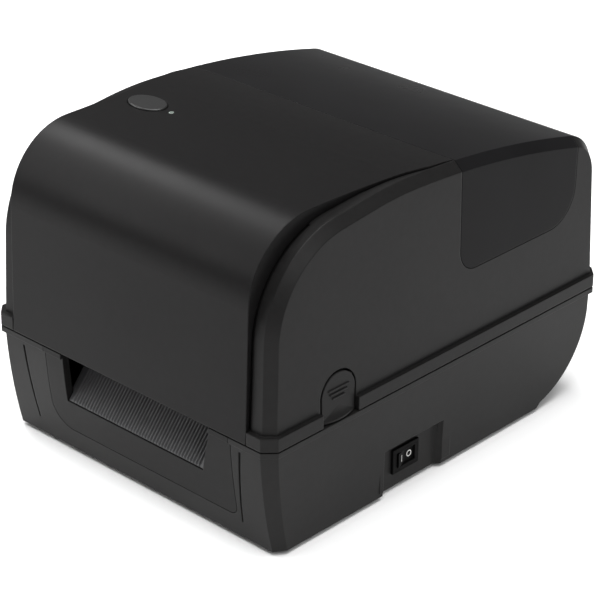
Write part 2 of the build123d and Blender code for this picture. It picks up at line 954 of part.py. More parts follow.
with BuildPart() as platen_shaft:
    add(
        rod(
            gear_far - 1.5, plate_right + chassis_gauge + 4.0,
            platen_y, platen_z, platen_shaft_radius,
        )
    )
    chamfer(platen_shaft.edges().filter_by(GeomType.CIRCLE), 0.5)
export(platen_shaft.part, "platen_shaft")

with BuildPart() as platen_roller:
    add(
        rod(
            media_centre - platen_length / 2, media_centre + platen_length / 2,
            platen_y, platen_z, platen_radius,
        )
    )
    chamfer(platen_roller.edges().filter_by(GeomType.CIRCLE), 0.6)
    add(
        rod(-half_width, half_width, platen_y, platen_z, platen_shaft_radius), mode=Mode.SUBTRACT
    )
export(platen_roller.part, "platen_roller")

with BuildPart() as platen_gear:
    with BuildSketch(Plane.YZ.offset(gear_far)):
        with Locations((platen_y, platen_z)):
            add(gear_sketch(platen_gear_teeth, heading_idler, platen_shaft_radius))
    extrude(amount=gear_width)
export(platen_gear.part, "platen_gear")

with BuildPart() as idler_gear:
    with BuildSketch(Plane.YZ.offset(gear_far)):
        with Locations((idler_y, idler_z)):
            add(gear_sketch(idler_gear_teeth, idler_phase, platen_shaft_radius + shaft_fit))
    extrude(amount=gear_width)
    # lightening holes
    with BuildSketch(Plane.YZ.offset(gear_far)):
        with Locations((idler_y, idler_z)):
            with PolarLocations(10.0, 5):
                Circle(3.2)
    extrude(amount=gear_width, mode=Mode.SUBTRACT)
export(idler_gear.part, "idler_gear")

# Stepper motor on the inner side of the left plate, its shaft with the pinion passing out
motor_face = plate_left + chassis_gauge
with BuildPart() as stepper_motor:
    with BuildSketch(Plane.YZ.offset(motor_face)) as flange_face:
        with Locations((motor_y, motor_z)):
            Rectangle(motor_size, motor_size)
        chamfer(flange_face.vertices(), motor_corner)
    extrude(amount=motor_length)
    add(rod(motor_face - motor_boss_height, motor_face, motor_y, motor_z, motor_boss_radius))
    with BuildSketch(Plane.YZ.offset(motor_face + 6)):
        with Locations((motor_y, motor_z)):
            Rectangle(motor_size + 2, motor_size + 2)
            RectangleRounded(motor_size - 1.2, motor_size - 1.2, motor_corner, mode=Mode.SUBTRACT)
    extrude(amount=motor_length - 12, mode=Mode.SUBTRACT)
export(stepper_motor.part, "stepper_motor")

with BuildPart() as motor_pinion:
    with BuildSketch(Plane.YZ.offset(gear_far)):
        with Locations((motor_y, motor_z)):
            add(gear_sketch(motor_pinion_teeth, motor_phase, 0.5))
    extrude(amount=gear_width)
    add(rod(gear_far, motor_face - motor_boss_height - 0.3, motor_y, motor_z, 2.5))
export(motor_pinion.part, "motor_pinion")


# Media deck: the flat tray under the label web, with the round trough for the roll behind it
def trough_circle(radius):
    with BuildSketch() as disc:
        with Locations((roll_centre_y, roll_centre_z)):
            Circle(radius)
    return disc.sketch


trough_left = media_centre - trough_half_width
trough_right = media_centre + trough_half_width
rack_left_y = roll_centre_y - gear_module * rack_pinion_teeth / 2 - rack_backing
rack_right_y = roll_centre_y + gear_module * rack_pinion_teeth / 2 + rack_backing
foot_lane = holder_foot_width + 2 * slot_clearance
guide_lane = guide_key + 2 * slot_clearance
deck_side = half_width - rim_step - base_wall - deck_clearance
deck_rear = hinge_y - knuckle_radius - 2.0

with BuildPart() as media_deck:
    with BuildSketch(Plane.XY.offset(deck_underside)) as plan:
        with Locations((0, (deck_front + deck_rear) / 2)):
            Rectangle(2 * deck_side, deck_rear - deck_front)
        chamfer(plan.vertices().group_by(Axis.Y)[-1], corner_bevel)
    extrude(amount=deck_thickness)
    # trough, closed by two end walls
    with BuildSketch(Plane.YZ.offset(trough_left - trough_wall)):
        add(trough_circle(trough_radius + trough_wall))
        with Locations((roll_centre_y, deck_underside + 0.5)):
            Rectangle(
                3 * trough_radius, 3 * trough_radius, align=(Align.CENTER, Align.MIN),
                mode=Mode.SUBTRACT,
            )
    extrude(amount=trough_right - trough_left + 2 * trough_wall)
    with BuildSketch(Plane.YZ.offset(trough_left)):
        add(trough_circle(trough_radius))
    extrude(amount=trough_right - trough_left, mode=Mode.SUBTRACT)
    # slots for the feet of the two roll holders
    add(
        block(
            trough_left, media_centre - 3, rack_left_y - foot_lane / 2,
            rack_left_y + foot_lane / 2, floor_top, deck_underside,
        ),
        mode=Mode.SUBTRACT,
    )
    add(
        block(
            media_centre + 3, trough_right, rack_right_y - foot_lane / 2,
            rack_right_y + foot_lane / 2, floor_top, deck_underside,
        ),
        mode=Mode.SUBTRACT,
    )
    # slot for the keys of the media guides
    with BuildSketch(Plane.XY.offset(deck_underside - 1)):
        with Locations((media_centre, guide_y)):
            SlotOverall(2 * (media_width / 2 + guide_foot), guide_lane)
    extrude(amount=deck_thickness + 2, mode=Mode.SUBTRACT)
    # notches that clear the hinge brackets
    for s in sides:
        add(
            block(
                s * hinge_place - knuckle_length / 2 - 0.5, s * hinge_place + knuckle_length / 2 + 0.5,
                hinge_y - knuckle_radius - 1.0, rear, deck_underside - 1, deck_top + 1,
            ),
            mode=Mode.SUBTRACT,
        )
    # notch for the platen wheel
    add(
        block(
            gear_far - 2, gear_near + 1, deck_front - 1,
            platen_y + gear_module * (platen_gear_teeth / 2 + 1) + 1.5,
            deck_underside - 1, deck_top + 1,
        ),
        mode=Mode.SUBTRACT,
    )
    # the front edge hangs down behind the platen
    add(
        block(
            media_centre - media_width / 2, media_centre + media_width / 2, deck_front,
            deck_front + deck_thickness, deck_underside - 8, deck_top,
        )
    )
export(media_deck.part, "media_deck")


# Roll holders: two mirrored arms that slide together, each with its rack under the trough
rack_teeth = int(holder_travel / (pi * gear_module)) + 4
holder_face = media_width / 2 + 0.3


def rack_sketch(direction):
    # a toothed bar seen from above; its teeth point towards the pinion
    pitch_y = roll_centre_y + direction * gear_module * rack_pinion_teeth / 2
    pitch = pi * gear_module
    thick = pitch / 2 - tooth_backlash
    lean = tan(radians(20))
    tip_y = pitch_y - direction * gear_module
    root_y = pitch_y + direction * 1.2 * gear_module
    back_y = pitch_y + direction * (rack_backing + holder_foot_width / 2)
    outer_x = media_centre + direction * (holder_face + holder_plate)
    points = []
    for k in range(-2, rack_teeth - 2):
        middle = media_centre + direction * pitch * (k + 0.5)
        wide = thick / 2 + 1.2 * gear_module * lean
        slim = thick / 2 - gear_module * lean
        points.append((middle - direction * wide, root_y))
        points.append((middle - direction * slim, tip_y))
        points.append((middle + direction * slim, tip_y))
        points.append((middle + direction * wide, root_y))
    points = [(points[0][0] - direction * 1.5, root_y)] + points
    points = [(points[0][0], back_y)] + points + [(outer_x, root_y), (outer_x, back_y)]
    with BuildSketch() as bar:
        with BuildLine():
            Polyline(points, close=True)
        make_face()
    return bar.sketch


def holder_side(lane_y):
    # side view of a holder arm: a foot in its lane, a tapering web and a round head
    low = rack_top - 0.01
    clear = roll_centre_z - trough_radius + 6
    with BuildSketch() as view:
        with BuildLine():
            Polyline(
                (lane_y - holder_foot_width / 2, low),
                (lane_y - holder_foot_width / 2, clear),
                (roll_centre_y - holder_plate_radius * 0.8, clear + 14),
                (roll_centre_y - holder_plate_radius * 0.75, roll_centre_z),
                (roll_centre_y + holder_plate_radius * 0.75, roll_centre_z),
                (roll_centre_y + holder_plate_radius * 0.8, clear + 14),
                (lane_y + holder_foot_width / 2, clear),
                (lane_y + holder_foot_width / 2, low),
                close=True,
            )
        make_face()
        with Locations((roll_centre_y, roll_centre_z)):
            Circle(holder_plate_radius)
    return view.sketch


def roll_holder(direction):
    lane = rack_left_y if direction < 0 else rack_right_y
    inner = media_centre + direction * holder_face
    outer = inner + direction * holder_plate
    near, far = min(inner, outer), max(inner, outer)
    with BuildPart() as holder:
        with BuildSketch(Plane.XY.offset(rack_bottom)):
            add(rack_sketch(direction))
        extrude(amount=rack_height)
        add(across(holder_side(lane), near, far))
        # core hub with a bevelled nose, hollow from outside
        hub = Plane(
            origin=(inner, roll_centre_y, roll_centre_z), x_dir=(0, 1, 0), z_dir=(-direction, 0, 0)
        )
        with BuildSketch(hub):
            Circle(holder_hub_radius)
        extrude(amount=holder_hub_length, taper=8)
        with BuildSketch(hub.offset(holder_hub_length - 1.8)):
            Circle(holder_hub_radius - 3.5)
        extrude(amount=-(holder_hub_length + holder_plate), mode=Mode.SUBTRACT)
    return holder.part


roll_holder_left = roll_holder(-1)
roll_holder_right = roll_holder(1)
export(roll_holder_left, "roll_holder_left")
export(roll_holder_right, "roll_holder_right")

with BuildPart() as holder_pinion:
    with BuildSketch(Plane.XY.offset(rack_bottom)):
        with Locations((media_centre, roll_centre_y)):
            add(gear_sketch(rack_pinion_teeth, 90.0, platen_shaft_radius + shaft_fit))
    extrude(amount=rack_height)
export(holder_pinion.part, "holder_pinion")


# Media guides: two fences that slide together across the deck
def media_guide(direction):
    inner = media_centre + direction * (media_width / 2 + 0.8)
    with BuildPart() as guide:
        with BuildSketch(Plane.YZ.offset(inner if direction > 0 else inner - guide_wall)) as fence:
            with Locations((guide_y, deck_top + running_gap)):
                Rectangle(guide_length, guide_height, align=(Align.CENTER, Align.MIN))
            chamfer(fence.vertices().group_by(Axis.Y)[-1], 3.0)
        extrude(amount=guide_wall)
        base_x = inner + direction * (guide_wall + guide_foot) / 2
        with BuildSketch(Plane.XY.offset(deck_top + running_gap)) as sole:
            with Locations((base_x, guide_y)):
                Rectangle(guide_foot + guide_wall, guide_foot)
            fillet(sole.vertices().group_by(Axis.X)[-1 if direction > 0 else 0], 3.0)
        extrude(amount=1.8)
        # thumb rib
        add(
            block(
                base_x - 1, base_x + 1, guide_y - guide_foot / 2, guide_y + guide_foot / 2,
                deck_top + running_gap, deck_top + running_gap + 4.5,
            )
        )
        # key through the slot with its head under the deck
        add(
            block(
                base_x - 3, base_x + 3, guide_y - guide_key / 2, guide_y + guide_key / 2,
                deck_underside - 2.0, deck_top + running_gap,
            )
        )
        add(
            block(
                base_x - 3, base_x + 3, guide_y - guide_key, guide_y + guide_key,
                deck_underside - 2.0, deck_underside - running_gap,
            )
        )
    return guide.part


media_guide_left = media_guide(-1)
media_guide_right = media_guide(1)
export(media_guide_left, "media_guide_left")
export(media_guide_right, "media_guide_right")

# Label gap sensor in the deck, just behind the platen
with BuildPart() as media_sensor:
    add(block(media_centre - 14, media_centre + 14, deck_front + 4, deck_front + 12, deck_top, deck_top + 1.2))
    with BuildSketch(Plane.XY.offset(deck_top + 1.2)):
        with Locations((media_centre - 6, deck_front + 8), (media_centre + 6, deck_front + 8)):
            Circle(1.4)
    extrude(amount=-0.6, mode=Mode.SUBTRACT)
export(media_sensor.part, "media_sensor")

# Main board with the connectors that reach the rear wall
board_left = trough_right + trough_wall + board_gap
board_right = half_width - board_margin
board_front = rear - board_reach
board_step = rear - board_rear_reach
board_rear = rear - rim_step - base_wall - board_rear_gap
# chips: distance from the side edge and from the front edge, width, length, height
chips = (
    (8.5, 17.0, 11.0, 11.0, 1.6),
    (13.0, 33.0, 6.0, 6.0, 2.2),
    (5.5, 34.0, 6.0, 10.0, 2.0),
    (12.5, 6.0, 5.0, 8.0, 5.5),
    (4.5, 7.0, 5.0, 8.0, 4.0),
    (9.0, 45.0, 12.0, 5.0, 1.8),
)
with BuildPart() as main_board:
    add(block(board_left, board_right, board_front, board_step, port_board, port_seat))
    add(
        block(
            half_width - board_rear_margin, board_right, board_step - 1.0, board_rear,
            port_board, port_seat,
        )
    )
    for place, reach, wide, long, high in chips:
        add(
            block(
                board_right - place - wide / 2, board_right - place + wide / 2,
                board_front + reach - long / 2, board_front + reach + long / 2,
                port_seat - 0.2, port_seat + high,
            )
        )
    # two capacitors
    with BuildSketch(Plane.XY.offset(port_seat - 0.2)):
        with Locations([(board_left + 3.2, board_front + reach) for reach in (24.0, 43.0)]):
            Circle(capacitor_radius)
    extrude(amount=capacitor_height + 0.2)
export(main_board.part, "main_board")

# Power inlet and USB port: sockets on the board, their mouths flush in the rear wall
port_mouth = rear - rim_step - 0.4
with BuildPart() as power_inlet:
    add(
        block(
            port_x[0] - power_width / 2, port_x[0] + power_width / 2, port_mouth - 13.0, port_mouth,
            port_seat, port_seat + port_height,
        )
    )
    with BuildSketch(Plane.XZ.offset(-port_mouth)):
        with Locations((port_x[0], port_seat + port_height / 2)):
            Circle(3.2)
    extrude(amount=10.0, mode=Mode.SUBTRACT)
export(power_inlet.part, "power_inlet")

with BuildPart() as usb_port:
    add(
        block(
            port_x[1] - usb_width / 2, port_x[1] + usb_width / 2, port_mouth - 16.0, port_mouth,
            port_seat, port_seat + port_height,
        )
    )
    with BuildSketch(Plane.XZ.offset(-port_mouth)) as mouth:
        with Locations((port_x[1], port_seat + port_height / 2)):
            Rectangle(8.6, 7.8)
        chamfer(mouth.vertices().group_by(Axis.Y)[-1], 1.8)
    extrude(amount=9.0, mode=Mode.SUBTRACT)
    add(
        block(
            port_x[1] - 2.8, port_x[1] + 2.8, port_mouth - 9.5, port_mouth - 4.8,
            port_seat + port_height / 2 - 1.6, port_seat + port_height / 2 + 1.4,
        )
    )
export(usb_port.part, "usb_port")

# Rocker switch: a frame snapped into the pocket, and the rocker on its pivot
switch_face = pocket_floor + 1.6
switch_inner_l = switch_length - 2 * switch_frame
switch_inner_h = switch_height - 2 * switch_frame
rocker_pivot_x = pocket_floor - rocker_pin_radius
with BuildPart() as switch_housing:
    add(
        block(
            pocket_floor, switch_face, switch_y - switch_length / 2, switch_y + switch_length / 2,
            switch_z - switch_height / 2, switch_z + switch_height / 2,
        )
    )
    add(
        block(
            pocket_floor - switch_body_depth, pocket_floor,
            switch_y - switch_inner_l / 2 + 0.2, switch_y + switch_inner_l / 2 - 0.2,
            switch_z - switch_inner_h / 2 + 0.2, switch_z + switch_inner_h / 2 - 0.2,
        )
    )
    add(
        block(
            pocket_floor - 6.0, switch_face + 1,
            switch_y - switch_inner_l / 2 + 1.2, switch_y + switch_inner_l / 2 - 1.2,
            switch_z - switch_inner_h / 2 + 1.2, switch_z + switch_inner_h / 2 - 1.2,
        ),
        mode=Mode.SUBTRACT,
    )
    # bearing holes for the rocker, above and below its room
    with BuildSketch(Plane.XY.offset(switch_z - switch_inner_h / 2)):
        with Locations((rocker_pivot_x, switch_y)):
            Circle(rocker_pin_radius + shaft_fit)
    extrude(amount=switch_inner_h, mode=Mode.SUBTRACT)
    # terminals
    for shift in (-5.0, 0.0, 5.0):
        add(
            block(
                pocket_floor - switch_body_depth - 6, pocket_floor - switch_body_depth,
                switch_y + shift - 0.4, switch_y + shift + 0.4, switch_z - 2.4, switch_z + 2.4,
            )
        )
export(switch_housing.part, "switch_frame")

rocker_half = switch_inner_l / 2 - 1.6
with BuildSketch() as rocker_plan:
    # plan view: a shallow V on a rounded back
    with BuildLine():
        Polyline(
            (-2.0, -rocker_half * 0.8), (2.4, -rocker_half), (1.4, 0), (2.4, rocker_half),
            (-2.0, rocker_half * 0.8), (-4.0, 0), close=True,
        )
    make_face()
with BuildPart() as switch_rocker:
    # it stands with its rear half pressed in
    with BuildSketch(Plane.XY.offset(switch_z - switch_inner_h / 2 + 1.5)):
        with Locations(Location((rocker_pivot_x, switch_y, 0), (0, 0, rocker_tilt))):
            add(rocker_plan.sketch)
    extrude(amount=switch_inner_h - 3.0)
    # pivot pins at both ends
    with BuildSketch(Plane.XY.offset(switch_z - switch_inner_h / 2 + 0.6)):
        with Locations((rocker_pivot_x, switch_y)):
            Circle(rocker_pin_radius)
    extrude(amount=switch_inner_h - 1.2)
export(switch_rocker.part, "switch_rocker")

# Feet: four round rubber pads seated in the floor
with BuildPart() as rubber_feet:
    with BuildSketch(Plane.XY):
        with Locations([(s * foot_x, y) for s in sides for y in (foot_y_front, foot_y_rear)]):
            Circle(foot_radius)
    extrude(amount=foot_height + foot_recess)
    chamfer(rubber_feet.edges().group_by(Axis.Z)[0], 0.8)
export(rubber_feet.part, "rubber_feet")

# Case screws: pan heads in the floor, their shanks in the deck posts
with BuildPart() as case_screws:
    with BuildSketch(Plane.XY.offset(foot_height + 0.2)):
        with Locations(post_places):
            Circle(screw_radius)
    extrude(amount=screw_recess - 0.2)
    with BuildSketch(Plane.XY.offset(foot_height + 0.2)):
        with Locations(post_places):
            Rectangle(3.6, 0.8)
            Rectangle(0.8, 3.6)
    extrude(amount=0.9, mode=Mode.SUBTRACT)
export(case_screws.part, "case_screws")

# Hinge brackets: two legs screwed inside the rear wall, each ending in a knuckle
with BuildPart() as hinge_brackets:
    for s in sides:
        x0 = s * hinge_place - knuckle_length / 2
        with BuildSketch(Plane.YZ.offset(x0)):
            with Locations((hinge_y, hinge_height)):
                Circle(knuckle_radius)
            with BuildLine():
                Polyline(
                    (hinge_y - knuckle_radius, hinge_height),
                    (hinge_y - knuckle_radius, bracket_foot),
                    (rear - rim_step - base_wall - 0.1, bracket_foot),
                    (rear - rim_step - base_wall - 0.1, hinge_height - knuckle_radius),
                    (hinge_y, hinge_height),
                    close=True,
                )
            make_face()
            with Locations((hinge_y, hinge_height)):
                Circle(hinge_pin_radius + hinge_pin_fit, mode=Mode.SUBTRACT)
        extrude(amount=knuckle_length)
export(hinge_brackets.part, "hinge_brackets")

knuckle_side = 9.0
with BuildPart() as hinge_pins:
    for s in sides:
        middle = s * hinge_place
        reach = knuckle_length / 2 + knuckle_side
        add(rod(middle - reach, middle + reach, hinge_y, hinge_height, hinge_pin_radius))
export(hinge_pins.part, "hinge_pins")

# Catches for the two latches: upright posts on the deck with a lip turned towards the side wall
catch_x = lid_side_width - 7.0
with BuildPart() as latch_catches:
    with BuildSketch(Plane.XZ.offset(-(latch_place + 8))) as hooks:
        with BuildLine():
            Polyline(
                (catch_x - 7.0, deck_top), (catch_x - 0.5, deck_top), (catch_x - 2.2, deck_top + 3),
                (catch_x - 2.2, deck_top + 11.4), (catch_x, deck_top + 11.4),
                (catch_x - 1.6, deck_top + 15.0), (catch_x - 5.0, deck_top + 15.0),
                (catch_x - 7.0, deck_top + 8.0), close=True,
            )
        make_face()
        mirror(about=Plane.YZ)
    extrude(amount=16)
export(latch_catches.part, "latch_catches")

# Lid shell: the drafted, bevelled cover with its band, the seat of the skin, the bed of the window,
# the openings for the latches and the hinge knuckles
lid_outer = lid_form(0, lid_bottom)
lid_inner = lid_form(lid_wall, lid_bottom - 5)


def window_side(grow):
    # side view of the window, which reaches over the roof to a rounded sill on each side
    above = skin_top_height + 15
    with BuildSketch() as view:
        with BuildLine():
            Polyline(
                (window_front - grow, above), (window_front - grow, window_sill - grow),
                (window_rear + grow, window_sill - grow),
                (window_rear + window_rear_lean + grow, window_sill + window_rear_rise),
                (window_rear_top + grow, above),
                close=True,
            )
        make_face()
        low = view.vertices().group_by(Axis.Y)[0].sort_by(Axis.X)
        fillet(low[0], window_front_round + grow)
        low = view.vertices().group_by(Axis.Y)[0].sort_by(Axis.X)
        fillet(low[-1], window_rear_round + grow)
    return view.sketch


def latch_side(grow):
    # side view of a latch tab: straight flanks under a round top
    with BuildSketch() as view:
        with BuildLine():
            Polyline(
                (latch_place - latch_width / 2 - grow, latch_shoulder),
                (latch_place - latch_width / 2 - grow, lid_bottom - (10 if grow > 0 else 0) + 0.3),
                (latch_place + latch_width / 2 + grow, lid_bottom - (10 if grow > 0 else 0) + 0.3),
                (latch_place + latch_width / 2 + grow, latch_shoulder),
            )
            ThreePointArc(
                (latch_place + latch_width / 2 + grow, latch_shoulder),
                (latch_place, latch_top + grow),
                (latch_place - latch_width / 2 - grow, latch_shoulder),
            )
        make_face()
    return view.sketch


feed_z = skin_top_height - skin_thickness
feed_seat = feed_z - skin_bedding
feed_floor = feed_seat - feed_well


def feed_outline(grow):
    with BuildSketch() as oval:
        with Locations((feed_x, feed_y)):
            Ellipse(feed_length / 2 + grow, feed_width / 2 + grow)
    return oval.sketch


latch_pin_x = lid_side_width - lid_wall / 2 - 0.25
boss_rows = (supply_y - 22.0, supply_y - 4.0)
window_cutter = across(window_side(window_gap), -half_width, half_width)
window_inner = across(window_side(-window_ledge), -half_width, half_width)
window_bed = lid_form(window_thickness + window_bedding, lid_bottom - 5)
skin_seat = skin_form(-0.5, skin_gap) - skin_form(skin_thickness + skin_bedding, skin_gap + 5)

# the shadow groove in the shell along the edge of the skin
with BuildPart() as edge_groove:
    with BuildSketch(Plane.XY.offset(band_top)):
        add(skin_plan(skin_groove))
        add(skin_plan(-skin_thickness), mode=Mode.SUBTRACT)
    extrude(amount=skin_top_height)
    add(lid_form(skin_groove_depth, lid_bottom), mode=Mode.SUBTRACT)
    split(bisect_by=Plane.XZ.offset(-skin_flare_start), keep=Keep.TOP)

with BuildPart() as lid_shell:
    add(lid_outer)
    add(case_prism(lid_bottom, band_top, 0))
    add(lid_inner, mode=Mode.SUBTRACT)
    # hinge knuckles on both sides of each bracket
    for s in sides:
        for k in sides:
            x0 = s * hinge_place + k * (knuckle_length / 2 + knuckle_play + knuckle_side / 2)
            x0 = x0 - knuckle_side / 2
            add(rod(x0, x0 + knuckle_side, hinge_y, hinge_height, knuckle_radius))
    # rear lower edge rounded about the hinge axis
    with BuildSketch(Plane.YZ.offset(-half_width)):
        with Locations((hinge_y, hinge_height)):
            Rectangle(20, 20, align=(Align.MIN, Align.MAX))
            Circle(hinge_inset, mode=Mode.SUBTRACT)
    extrude(amount=case_width, mode=Mode.SUBTRACT)
    # notches that leave room for the knuckles of the base
    for s in sides:
        add(
            block(
                s * hinge_place - knuckle_length / 2 - knuckle_play,
                s * hinge_place + knuckle_length / 2 + knuckle_play,
                hinge_y - knuckle_radius - 2, rear + 1, lid_bottom - 1,
                hinge_height + knuckle_radius + 1.2,
            ),
            mode=Mode.SUBTRACT,
        )
    add(rod(-half_width + 8, half_width - 8, hinge_y, hinge_height, hinge_pin_radius), mode=Mode.SUBTRACT)
    # seat of the skin, and the groove beside it
    add(skin_seat, mode=Mode.SUBTRACT)
    add(edge_groove.part, mode=Mode.SUBTRACT)
    # bed and opening of the window
    add((window_cutter - window_bed), mode=Mode.SUBTRACT)
    add(window_inner, mode=Mode.SUBTRACT)
    # openings for the latches and the holes for their pins
    add(across(latch_side(latch_gap), -half_width, half_width), mode=Mode.SUBTRACT)
    with BuildSketch(Plane.XZ.offset(-latch_place)):
        with Locations((-latch_pin_x, latch_pivot_height), (latch_pin_x, latch_pivot_height)):
            Circle(latch_pin_radius + shaft_fit)
    extrude(amount=latch_width / 2 + latch_pin_reach + 0.4, both=True, mode=Mode.SUBTRACT)
    # shallow well under the feed button
    with BuildSketch(Plane.XY.offset(feed_floor)):
        add(feed_outline(feed_gap))
    extrude(amount=10, mode=Mode.SUBTRACT)
    # bosses that hold the ribbon carriage under the roof
    with BuildSketch(Plane.XY.offset(carriage_top)):
        with Locations([(media_centre + s * 50, y) for s in sides for y in boss_rows]):
            Circle(boss_radius)
    extrude(amount=crown_height - lid_wall + 0.5 - carriage_top)
export(lid_shell.part, "lid_shell")

# Window: the smoked saddle that wraps over the roof and down both sides
with BuildPart() as media_window:
    add(lid_outer)
    add(lid_form(window_thickness, lid_bottom - 5), mode=Mode.SUBTRACT)
    add(across(window_side(0), -half_width, half_width), mode=Mode.INTERSECT)
export(media_window.part, "media_window")

# Skin: the thin front and top cover; its side edges turn down to the shell and show as a reveal
lid_seat = lid_form(-skin_bedding, lid_bottom - 5)
with BuildPart() as skin_edges:
    with BuildSketch(Plane.XY.offset(band_top + skin_gap)):
        add(skin_plan(0))
        add(skin_plan(-skin_thickness), mode=Mode.SUBTRACT)
    extrude(amount=skin_top_height)
    add(skin_form(0, 0), mode=Mode.INTERSECT)
    add(lid_seat, mode=Mode.SUBTRACT)
    split(bisect_by=Plane.XZ.offset(-(skin_flare_end - 1)), keep=Keep.TOP)

with BuildPart() as lid_skin:
    add(skin_form(0, 0))
    add(skin_form(skin_thickness, 5), mode=Mode.SUBTRACT)
    add(skin_edges.part)
    split(bisect_by=Plane.XY.offset(lid_bottom), keep=Keep.TOP)
    # opening for the feed button and the light beside it
    with BuildSketch(Plane.XY.offset(skin_top_height - 20)):
        add(feed_outline(feed_gap))
        with Locations((feed_x + light_offset, feed_y)):
            Circle(light_radius + 0.1)
    extrude(amount=40, mode=Mode.SUBTRACT)
export(lid_skin.part, "lid_skin")

# Feed button: an oval cap with a stem into a short well on the shell
with BuildPart() as feed_button:
    with BuildSketch(Plane.XY.offset(feed_z + 0.2)):
        add(feed_outline(0))
    extrude(amount=skin_thickness + feed_proud - 0.2)
    chamfer(feed_button.edges().group_by(Axis.Z)[-1], 0.5)
    with BuildSketch(Plane.XY.offset(feed_floor + feed_stroke + skin_bedding)):
        with Locations((feed_x, feed_y)):
            Rectangle(feed_length * 0.5, feed_width * 0.4)
    extrude(amount=feed_z + 0.5 - (feed_floor + feed_stroke + skin_bedding))
export(feed_button.part, "feed_button")

with BuildPart() as feed_light:
    with BuildSketch(Plane.XY.offset(feed_seat + 0.4)):
        with Locations((feed_x + light_offset, feed_y)):
            Circle(light_radius)
    extrude(amount=skin_top_height + 0.2 - (feed_seat + 0.4))
    fillet(feed_light.edges().group_by(Axis.Z)[-1], 0.4)
export(feed_light.part, "feed_light")


# Latch tabs: arched plates in the side walls, each hung on a pin, with a scooped finger lip, three
# grip ridges and a nose that reaches in beneath the catch
def latch(direction):
    face = lid_side_width
    low = lid_bottom + 0.3
    # the lip is a slice of a flared round form, so its upper edge is an arch on the flat face
    lip_centre = face + latch_lip / 2 - (latch_width / 2) ** 2 / (2 * latch_lip)
    lip_radius = face - lip_centre
    with BuildPart() as lip:
        with BuildSketch(Plane.XZ) as flare:
            with BuildLine():
                Line((0, low), (0, scoop_height))
                Line((0, scoop_height), (lip_radius, scoop_height))
                ThreePointArc(
                    (lip_radius, scoop_height),
                    (lip_radius + latch_lip * 0.36, (scoop_height + low) / 2),
                    (lip_radius + latch_lip, low + lip_edge),
                )
                Line((lip_radius + latch_lip, low + lip_edge), (lip_radius + latch_lip, low))
                Line((lip_radius + latch_lip, low), (0, low))
            make_face()
        revolve(axis=Axis.Z)
    with BuildPart() as tab:
        with BuildSketch(Plane.YZ.offset(face - latch_thickness)):
            add(latch_side(0))
        extrude(amount=latch_thickness)
        with Locations((lip_centre, latch_place, 0)):
            add(lip.part)
        add(across(latch_side(0), face - latch_thickness, half_width), mode=Mode.INTERSECT)
        # grip ridges
        for height, wide in grip_ridges:
            with BuildSketch(Plane.YZ.offset(face - ridge_proud)):
                with Locations((latch_place, lid_bottom + height)):
                    SlotOverall(wide, ridge_width)
            extrude(amount=2 * ridge_proud)
        # nose
        with BuildSketch(Plane.XZ.offset(-(latch_place - 6))):
            with BuildLine():
                Polyline(
                    (face - latch_thickness + 0.5, low + 0.4), (catch_x + catch_gap, low + 1.6),
                    (catch_x + catch_gap, low + 3.2), (face - latch_thickness + 0.5, low + 4.4),
                    close=True,
                )
            make_face()
        extrude(amount=-12)
        # pivot pin
        with BuildSketch(Plane.XZ.offset(-latch_place)):
            with Locations((latch_pin_x, latch_pivot_height)):
                Circle(latch_pin_radius)
        extrude(amount=latch_width / 2 + latch_pin_reach, both=True)
    if direction > 0:
        return tab.part
    return mirror(tab.part, about=Plane.YZ)


latch_right = latch(1)
latch_left = latch(-1)
export(latch_left, "latch_left")
export(latch_right, "latch_right")

# Ribbon carriage: two side plates joined by cross plates, hung from the bosses under the roof
carriage_left = media_centre - carriage_half_width - carriage_gauge
carriage_right = media_centre + carriage_half_width
head_y = platen_y
rod_places = ((head_y - 18.5, shelf_z - 23.0), (head_y + 18.0, shelf_z - 22.0))
plate_front = front + 16.0
plate_foot = shelf_z - 26.0
hole_radius = 7.0
motor2_y = rewind_y + gear_module * (rewind_gear_teeth + rewind_pinion_teeth) / 2
motor2_posts = ((motor2_y + 10, rewind_z + 12), (motor2_y + 10, rewind_z - 12))


def carriage_plate(x0):
    with BuildPart() as plate:
        with BuildSketch(Plane.YZ.offset(x0)) as side:
            with BuildLine():
                Polyline(
                    (plate_front, plate_foot),
                    (plate_front + 44.0, plate_foot),
                    (plate_front + 58.0, plate_foot + 20.0),
                    (supply_y + 18.0, carriage_top - 49.0),
                    (supply_y + 18.0, carriage_top - 17.0),
                    (supply_y + 4.0, carriage_top),
                    (supply_y - 30.0, carriage_top),
                    (plate_front + 12.0, carriage_top - 19.0),
                    (plate_front, carriage_top - 39.0),
                    close=True,
                )
            make_face()
            fillet(side.vertices(), 4.0)
            with Locations((supply_y, supply_z), (rewind_y, rewind_z)):
                Circle(spindle_pin_radius + shaft_fit, mode=Mode.SUBTRACT)
            with Locations((front + 42.0, shelf_z - 6.0), (supply_y - 28.0, carriage_top - 29.0)):
                Circle(hole_radius, mode=Mode.SUBTRACT)
        extrude(amount=carriage_gauge)
    return plate.part


with BuildPart() as ribbon_carriage:
    add(carriage_plate(carriage_left))
    add(carriage_plate(carriage_right))
    inner_l = carriage_left
    inner_r = carriage_right + carriage_gauge
    add(
        block(
            inner_l, inner_r, supply_y - 28.0, supply_y + 2.0,
            carriage_top - carriage_gauge, carriage_top,
        )
    )
    add(
        block(
            inner_l, inner_r, plate_front, plate_front + carriage_gauge,
            carriage_top - 57.0, carriage_top - 39.0,
        )
    )
    add(block(inner_l, inner_r, head_y - 15, head_y + 14, shelf_z, shelf_z + carriage_gauge))
export(ribbon_carriage.part, "ribbon_carriage")

with BuildPart() as ribbon_rods:
    for y, z in rod_places:
        add(rod(inner_l + carriage_gauge, inner_r - carriage_gauge, y, z, guide_rod_radius))
export(ribbon_rods.part, "ribbon_rods")

